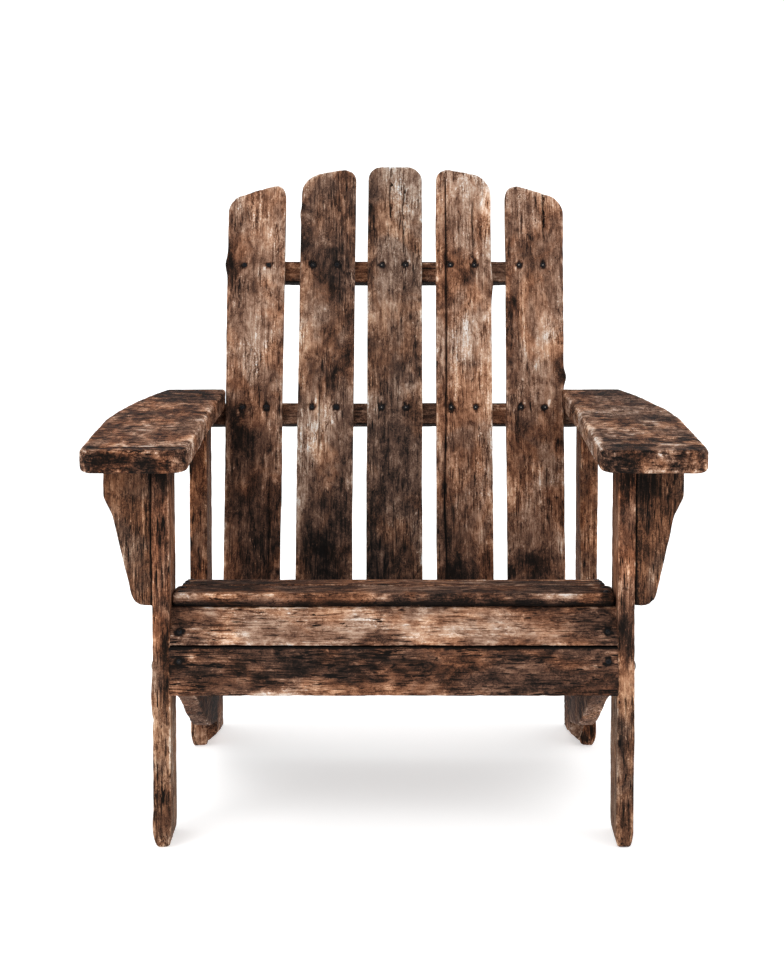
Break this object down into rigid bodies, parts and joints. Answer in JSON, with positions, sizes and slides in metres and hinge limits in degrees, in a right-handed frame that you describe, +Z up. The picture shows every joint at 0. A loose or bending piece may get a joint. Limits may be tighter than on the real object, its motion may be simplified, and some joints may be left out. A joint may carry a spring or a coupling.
{
  "type": "adirondack chair",
  "caption": "Weathered wooden adirondack garden chair: a low sloping slatted seat, a reclined slatted back with a rounded top and wide flat arms on shaped brackets.",
  "frame": {"origin": "centre of the bounding box's footprint, on the ground under the feet", "axes": "+Z up, -Y the way the sitter faces, +X the chair's right-hand side as seen from the front"},
  "size_m": [0.755, 0.7754, 0.8179],
  "materials": {
    "frame_wood": "bare weathered softwood, brown with grey and black stains",
    "arm_wood": "bare weathered softwood, dark streaks and worn paler grain",
    "seat_wood": "bare weathered softwood, dark red-brown",
    "apron_wood": "bare weathered softwood, worn pale along the middle",
    "back_wood": "bare weathered softwood with near-black stains",
    "rail_wood": "bare weathered softwood, dark",
    "black_steel": "blackened steel, satin, a little rusted"
  },
  "bodies": {
    "root": {"apron_lower": "apron_wood", "apron_screws": "black_steel", "apron_upper": "apron_wood", "arm_left": "arm_wood", "arm_plugs": "arm_wood", "arm_right": "arm_wood", "arm_screws": "black_steel", "back_slat_1": "back_wood", "back_slat_2": "back_wood", "back_slat_3": "back_wood", "back_slat_4": "back_wood", "back_slat_5": "back_wood", "bottom_back_rail": "rail_wood", "bottom_rail_screws": "black_steel", "bracket_left": "frame_wood", "bracket_right": "frame_wood", "bracket_screws": "black_steel", "front_leg_left": "frame_wood", "front_leg_right": "frame_wood", "leg_bolts": "black_steel", "leg_nuts": "black_steel", "leg_washers": "black_steel", "lower_back_rail": "rail_wood", "lower_rail_screws": "black_steel", "post_bolts": "black_steel", "post_nuts": "black_steel", "post_washers": "black_steel", "rail_end_screws": "black_steel", "rail_post_screws": "black_steel", "rear_post_left": "frame_wood", "rear_post_right": "frame_wood", "seat_screws": "black_steel", "seat_slat_1": "seat_wood", "seat_slat_2": "seat_wood", "seat_slat_3": "seat_wood", "seat_slat_4": "seat_wood", "seat_slat_5": "seat_wood", "seat_slat_6": "seat_wood", "seat_slat_7": "seat_wood", "stringer_left": "frame_wood", "stringer_right": "frame_wood", "upper_back_rail": "rail_wood", "upper_rail_screws": "black_steel"}
  },
  "joints": []
}
